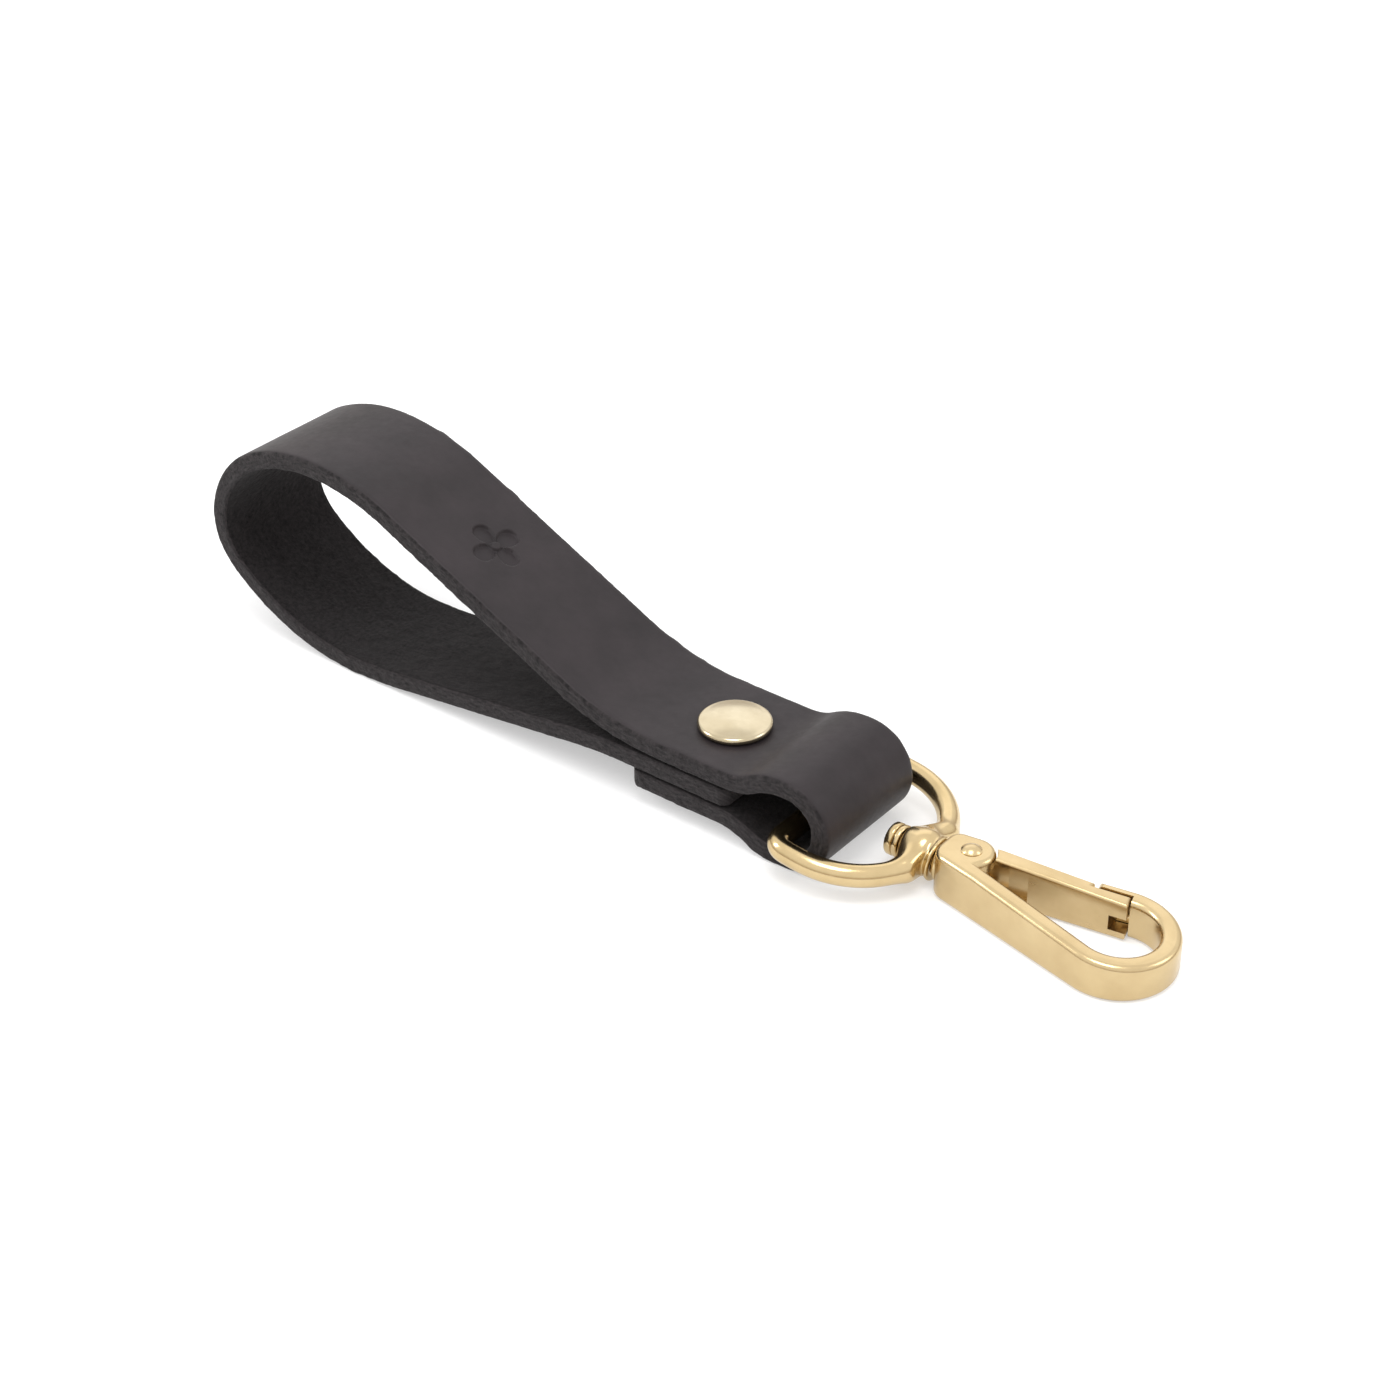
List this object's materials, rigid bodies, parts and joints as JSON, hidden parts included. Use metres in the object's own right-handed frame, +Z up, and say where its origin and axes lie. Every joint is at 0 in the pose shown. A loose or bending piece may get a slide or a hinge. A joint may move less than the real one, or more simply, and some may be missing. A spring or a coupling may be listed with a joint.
{
  "type": "wristlet keychain",
  "caption": "Folded black leather wrist loop held by a double cap rivet, with a gold swivel ring and a gold snap hook with a sprung gate.",
  "frame": {"origin": "middle of the bounding box in X and Y, at table level", "axes": "+X from the wrist loop to the hook, +Y across the strap towards the gate's side of the hook, +Z up from the table the keychain lies on"},
  "size_m": [0.152, 0.0276, 0.0318],
  "materials": {
    "black_leather": "smooth satin",
    "polished_cap": "polished",
    "rivet_core": "satin",
    "cast_gold": "polished",
    "satin_gold": "satin",
    "brushed_gold": "brushed",
    "spring_steel": "satin"
  },
  "bodies": {
    "strap": {"leather_strap": "black_leather", "rivet_top_cap": "polished_cap", "rivet_socket": "rivet_core", "rivet_under_cap": "polished_cap", "rivet_post": "rivet_core"},
    "ring": {"swivel_ring": "cast_gold"},
    "hook": {"hook_body": "satin_gold", "swivel_washer": "cast_gold", "gate_pin": "satin_gold", "gate_spring": "spring_steel"},
    "gate": {"gate": "brushed_gold"}
  },
  "joints": [
    {"name": "ring_swing", "type": "hinge", "parent": "strap", "child": "ring", "pos_m": [0.02561, 0, 0.0066], "axis": [0, -1, 0], "range_deg": [-85, 90]},
    {"name": "hook_swivel", "type": "hinge", "parent": "ring", "child": "hook", "pos_m": [0.03964, 0, 0.0033], "axis": [1, 0, 0], "continuous": true},
    {"name": "gate_hinge", "type": "hinge", "parent": "hook", "child": "gate", "pos_m": [0.04674, 0, 0.0033], "axis": [0, 0, -1], "range_deg": [0, 20], "stiffness_Nm_per_rad": 0.02, "springref_deg": -57.3}
  ]
}
